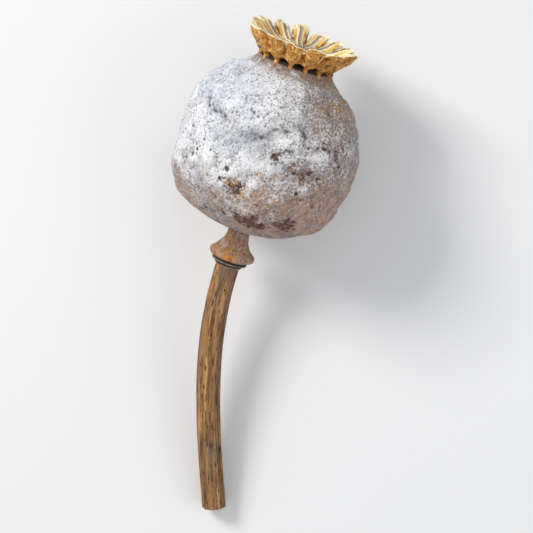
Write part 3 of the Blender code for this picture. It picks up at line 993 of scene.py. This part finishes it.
# The wall under the disc, its struts, and its arched pores, whose width is a share of the way between.
WALL_RADIUS = 9.6
WALL_TOP = 1.9
STRUT_FLARE = 1.6
FLARE_FLANK = (0.45, 1)
PORE_DEPTH = 2.4
PORE_WIDTH = 0.74
PORE_SIDE = 0.4
PORE_ARCH = 1
FOOT_DEPTH = 1.5

# The neck below the crown: depths, and its radii there.
NECK_SIDE = ((0.3, 1.4, 2.8), (9.6, 9.9, 11.1))

STEPS_PER_RAY = 32
TOP_ROWS = 64
EDGE_ROWS = 5
UNDER_ROWS = 34
WALL_ROWS = 26
FOOT_ROWS = 10

STRAW = (0.92, 0.6, 0.12)
STRAW_CREAM_AND_HIGHLIGHT = (1, 0.94, 0.64)
STRAW_ORANGE_AND_SHADE = (0.5, 0.22, 0.03)
AMBER_AND_SHADE = (0.6, 0.26, 0.044)
AMBER_LIGHT = (0.88, 0.51, 0.14)
AMBER_DARK = (0.13, 0.05, 0.016)
RAY_GREY = (0.4, 0.31, 0.25)
PORE_SHADE = (0.022, 0.012, 0.008)


def rim_radius(off, length):
    """Radius of the scalloped edge: a blunt lobe on each ray, a notch between two."""
    blunt = np.maximum(0, 1 - (np.abs(off) / LOBE_EDGE) ** LOBE_SQUARENESS) ** 0.5
    return NOTCH_RADIUS + (CROWN_RADIUS * length - NOTCH_RADIUS) * blunt


def ray_columns():
    """Ways off a ray, from -1 to 1, that are evenly spaced along the edge of a lobe."""
    off = np.linspace(-1, 1, 4001)
    along = lengths_along(turned(rim_radius(off, 1), 0 * off, off / 2 * math.tau / RAYS))
    return np.interp(np.arange(STEPS_PER_RAY) / STEPS_PER_RAY * along[-1], along, off)


def sheet_height(radius, off, curl, twist):
    """Mid-height of the sheet, which sinks between rays, and lifts and twists along its lobes."""
    out = ease(DISC_INNER, CROWN_RADIUS, radius)
    level = DISC_LEVEL + LOBE_RISE * curl * out - PLEAT * off ** 2 * ease(0, DISC_INNER, radius)
    return level + LOBE_TWIST * twist * off * (1 - np.abs(off)) * 2 * ease(NOTCH_RADIUS, CROWN_RADIUS, radius)


def wall_radius(way, level):
    """Radius of the wall under the disc, whose struts flare outwards as they rise."""
    return WALL_RADIUS + STRUT_FLARE * (1 - 0.6 * ease(*FLARE_FLANK, way)) * level / WALL_TOP


def sheet_rows():
    """The rows over the sheet's top, round its edge and down its back, as four columns.

    They are how far out a row is, 1 on top to -1 below, its bulge at the edge, and its way back to the wall.
    """
    turned_edge = np.linspace(0.2, math.pi - 0.2, EDGE_ROWS)
    top, edge, under = np.zeros(TOP_ROWS), np.zeros(EDGE_ROWS), np.zeros(UNDER_ROWS)
    columns = (
        (np.linspace(0.02, 1, TOP_ROWS), edge + 1, under + 1),
        (top + 1, np.cos(turned_edge), under - 1),
        (top, np.sin(turned_edge), under),
        (top, edge, np.linspace(0, 1, UNDER_ROWS)),
    )
    return [np.concatenate(column)[:, None] for column in columns]


def rays_at(flat, radius, across, length):
    """The swelling, the lips and the groove of the rays, 0 to 1."""
    end = RAY_END * length
    along = ease(*RAY_START, radius) * ease(end, end - RAY_FADE * length, radius)
    groove = hump(across, 0, GROOVE_WIDTH + bumps(flat, *GROOVE_WEAR), 4)
    return along * hump(across, 0, RAY_WIDTH), along * hump(across, *LIPS), along * groove


def down_the_back(radius, level, way, to_wall, angle):
    """Radii and levels drawn in from the edge to the wall over swelling backs, and the backs' grain."""
    radius = radius + (wall_radius(way, WALL_TOP) - radius) * to_wall
    level = level + (WALL_TOP - level) * to_wall
    grain = turned(0.2 * radius, angle * CROWN_RADIUS, angle)
    worn = bumps(turned(radius, level, angle), *BACK_WEAR)
    swell = BACK_SWELL * (1 - way ** 2) + worn + bumps(grain, *BACK_STREAKS)
    return radius + np.sin(math.pi * to_wall) * swell, level, grain


def crown_sheet(off, length, curl, twist, angle):
    """Rings over the disc, round its edge and down the lobes' backs, with their paint."""
    share, side, bulge, to_wall = sheet_rows()
    off = off[None]
    way = np.abs(off)
    inner = DISC_INNER / CROWN_RADIUS
    outer = DISC_INNER + (share - inner) / (1 - inner) * (rim_radius(off, length) - DISC_INNER)
    radius = np.where(share < inner, share * CROWN_RADIUS, outer)
    flat = turned(radius, 0 * radius, angle)
    notch_curl = NOTCH_CURL * ease(0.45, 0.85, way) * ease(NOTCH_RADIUS, CROWN_RADIUS, radius)
    radius = radius + bumps(flat, *FRAY) * ease(0.8, 1, share) + 0.5 * EDGE_THICKNESS * bulge
    warp = bumps(flat, *WARP) * ease(DISC_INNER, CROWN_RADIUS, radius)
    level = sheet_height(radius, off, curl + (1 - curl) * way, twist) + warp + notch_curl
    thick = SHEET_THICKNESS + (EDGE_THICKNESS - SHEET_THICKNESS) * ease(0.75, 1, share)
    level = level + side * thick / 2

    across = way * radius * math.pi / RAYS
    swelling, lips, groove = rays_at(flat, radius, across, length)
    grain = turned(0.12 * radius, angle * CROWN_RADIUS, angle)
    veins = bumps(grain, *VEINS) * ease(3, 7, radius)
    top = ease(-0.2, 0.6, side)
    level += top * (RAY_HEIGHT * swelling + LIP_HEIGHT * lips - GROOVE_DEPTH * groove + veins)
    radius, level, back_grain = down_the_back(radius, level, way, to_wall, angle)
    paint = {"groove": groove * top, "lip": lips * top, "under": ease(0.2, -0.6, side), "pore": 0, "foot": 0,
             "reach": share - 0.3 * to_wall, "across": across, "side": np.sign(off - RAY_MIDDLE)}
    # Painted shade in the folds between the lobes, towards the notches.
    paint["fold_shade"] = top * ease(0.64, 0.86, way) * ease(3.5, 6, radius)
    paint = {label: values + 0 * level for label, values in paint.items()}
    paint["grain"] = np.where(to_wall[..., None] > 0, back_grain, grain)
    return turned(radius, level, angle), paint


def pores_at(way, level):
    """1 in the arched pores of the wall and 0 on its struts."""
    arch = np.sqrt(np.clip(1 - (np.maximum(level - PORE_SIDE, 0) / PORE_ARCH) ** 2, 0, 1))
    return ease(PORE_WIDTH * arch + 0.05, PORE_WIDTH * arch - 0.13, 1 - way) * ease(0, 0.12, arch)


def crown_wall(off, angle):
    """Rings down the wall under the disc, its struts and its pores, and on to the neck."""
    feet = np.linspace(0, -FOOT_DEPTH, FOOT_ROWS + 1)[1:]
    level = np.concatenate([np.linspace(WALL_TOP, 0, WALL_ROWS)[1:], feet])[:, None] + 0 * off[None]
    way = np.abs(off)[None] + 0 * level
    foot = ease(0, -FOOT_DEPTH, level)
    beside = np.where(level > 0, pores_at(way, level), ease(0.27 - 0.2 * foot, 0.47 - 0.2 * foot, way))
    neck = np.interp(-level, *NECK_SIDE) + 0.1 * (1 - foot)
    radius = np.where(level > 0, wall_radius(way, level), neck) - beside * PORE_DEPTH
    radius = radius + bumps(turned(radius, level, angle), *WALL_ROUGHNESS)
    paint = {"groove": 0, "lip": 0, "under": 1, "pore": beside, "foot": foot, "reach": 0.5, "across": 2,
             "side": 0, "fold_shade": 0}
    paint = {label: values + 0 * level for label, values in paint.items()}
    paint["grain"] = turned(0.2 * radius, angle * CROWN_RADIUS, angle + 0 * level)
    return turned(radius, level, angle), paint


def make_crown():
    off = np.tile(ray_columns(), RAYS)
    ray = np.repeat(np.arange(RAYS), STEPS_PER_RAY)
    length, curl, twist = np.array(drawn(*LOBES))[ray].T
    angle = ((ray + off / 2) * math.tau / RAYS)[None]
    sheet, sheet_paint = crown_sheet(off, length, curl, twist, angle)
    wall, wall_paint = crown_wall(off, angle)
    paint = {label: np.concatenate([sheet_paint[label], wall_paint[label]]) for label in sheet_paint}
    pose = HEAD_POSE @ Matrix.Translation((0, 0, CROWN_LEVEL))
    return skin_of_rings("lobed_crown", np.concatenate([sheet, wall]), paint, pose)


def sheet_colour(tree, place, grain):
    """Straw gold with cream streaks and lips, cream tips and edge partly as painted highlight, orange
    patches, painted shade on one flank of each ray, and grey rays.
    """
    reach = painted(tree, "reach")
    # Cream streaks, and towards the tips cream as painted highlight.
    pale = either(patches(grain, 0.9, 0.48, 0.64, 4), both(ranged(reach, 0.78, 0.96), 0.85))
    near_ray = ranged(painted(tree, "across"), 1.9, 0.9)
    # Orange patches, and as painted shade one flank of each ray near it.
    shaded_flank = both(ranged(painted(tree, "side"), -0.2, 0.2), near_ray)
    orange_and_shade = either(shaded_flank, patches(place, 2.4, 0.5, 0.62))
    groove = painted(tree, "groove")
    ray = ranged(groove, 0.15, 0.7)
    ray_edges = both(ray, ranged(groove, 0.75, 0.35))
    # Cream edge, partly painted highlight.
    edge = both(ranged(reach, 0.93, 1), patches(place, 2, 0.36, 0.52))
    return layered(
        STRAW,
        (pale, STRAW_CREAM_AND_HIGHLIGHT),
        (both(orange_and_shade, patches(grain, 0.7, 0.3, 0.5, 4)), STRAW_ORANGE_AND_SHADE, 0.9),
        (both(painted(tree, "lip"), patches(grain, 0.6, 0.3, 0.5)), STRAW_CREAM_AND_HIGHLIGHT),
        (ray, RAY_GREY, 0.9),
        (either(both(ray, patches(grain, 0.45, 0.52, 0.68, 4)), ray_edges), AMBER_DARK, 0.8),
        (patches(grain, 0.4, 0.58, 0.68, 4), AMBER_DARK, 0.7),
        # Painted shade between the lobes.
        (both(painted(tree, "fold_shade"), patches(place, 0.9, 0.3, 0.55, 4)), AMBER_DARK, 0.8),
        (edge, STRAW_CREAM_AND_HIGHLIGHT, 0.9),
    )


def crown_finish():
    """The sheet's colour on top, amber backs darkened as painted shade with dark stains and flecks, and
    painted shade in the pores.
    """
    material, tree = plant_material("dry_straw")
    place = painted(tree, "place", "Vector")
    grain = painted(tree, "grain", "Vector")
    # Amber backs, darker than the top as painted shade, since they face down.
    back = layered(
        AMBER_AND_SHADE,
        (patches(place, 1.3, 0.45, 0.65, 4), AMBER_LIGHT),
        (patches(place, 0.9, 0.52, 0.64, 4), AMBER_DARK, 0.8),
        (patches(grain, 0.4, 0.54, 0.66, 4), AMBER_DARK, 0.7),
    )
    tone = layered(
        sheet_colour(tree, place, grain),
        (painted(tree, "under"), back),
        (specks(place, 0.8, 0.25, 0.3), AMBER_DARK, 0.6),
        (painted(tree, "foot"), SKIN_GREY, 0.7),
        # Painted shade in the pores.
        (ranged(painted(tree, "pore"), 0.15, 0.8), PORE_SHADE),
    )
    roughness = spread(patches(place, *SHEEN), 0.5, 0.75)
    return finished(material, tone, roughness, 0.35, patches(grain, 0.35, 0.2, 0.8, 4), 0.12)


crown = make_crown()
crown.data.materials.append(crown_finish())
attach(crown, "root")
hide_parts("crown")


# Surface, light and camera
# A pale level surface, a soft light from the upper left with a weaker one opposite, and the camera over the
# head, tipped to the photograph's angle. Lengths are in metres here.

FLOOR_SIZE = 2
FLOOR_WHITE = (0.82, 0.82, 0.815)
FLOOR_ROUGHNESS = 0.9

# Lights: place, width, power and colour.
KEY_LIGHT = (Vector((-0.5, 0.4, 0.55)), 0.26, 4.9, (1, 0.985, 0.965))
FILL_LIGHT = (Vector((0.55, -0.2, 0.5)), 0.6, 1, (0.95, 0.97, 1))
WORLD_COLOUR = (0.94, 0.96, 1)
WORLD_STRENGTH = 0.6

VIEW_TIP = math.radians(4)
VIEW_DISTANCE = 0.55
VIEW_HEIGHT = 0.136
VIEW_MIDDLE = Vector((0.8, -27.6, 15)) * MM
SENSOR = 36


def make_floor():
    half = FLOOR_SIZE / 2
    corners = [(-half, -half, 0), (half, -half, 0), (half, half, 0), (-half, half, 0)]
    mesh = bpy.data.meshes.new("floor")
    mesh.from_pydata(corners, [], [(0, 1, 2, 3)])
    material, tree = plant_material("pale_floor")
    shader = tree.nodes["Principled BSDF"].inputs
    shader["Base Color"].default_value = (*FLOOR_WHITE, 1)
    shader["Roughness"].default_value = FLOOR_ROUGHNESS
    mesh.materials.append(material)
    floor = placed("floor", mesh)


def add_light(name, place, size, power, colour):
    """A square soft light that faces the head."""
    light = bpy.data.lights.new(name, "AREA")
    light.shape = "SQUARE"
    light.size = size
    light.energy = power
    light.color = colour
    lamp = placed(name, light)
    lamp.location = place
    lamp.rotation_euler = (HEAD_MIDDLE * MM - lamp.location).to_track_quat("-Z", "Y").to_euler()


def add_world():
    world = bpy.data.worlds.new("studio")
    world.use_nodes = True
    background = world.node_tree.nodes["Background"].inputs
    background["Color"].default_value = (*WORLD_COLOUR, 1)
    background["Strength"].default_value = WORLD_STRENGTH
    bpy.context.scene.world = world


def add_camera():
    camera = bpy.data.cameras.new("camera")
    camera.sensor_width = SENSOR
    camera.lens = SENSOR * VIEW_DISTANCE / VIEW_HEIGHT
    view = placed("camera", camera)
    view.location = VIEW_MIDDLE + VIEW_DISTANCE * Vector((0, math.sin(VIEW_TIP), math.cos(VIEW_TIP)))
    view.rotation_euler = (-VIEW_TIP, 0, 0)
    bpy.context.scene.camera = view


make_floor()
add_light("key", *KEY_LIGHT)
add_light("fill", *FILL_LIGHT)
add_world()
add_camera()
bpy.context.scene.view_settings.view_transform = "Standard"
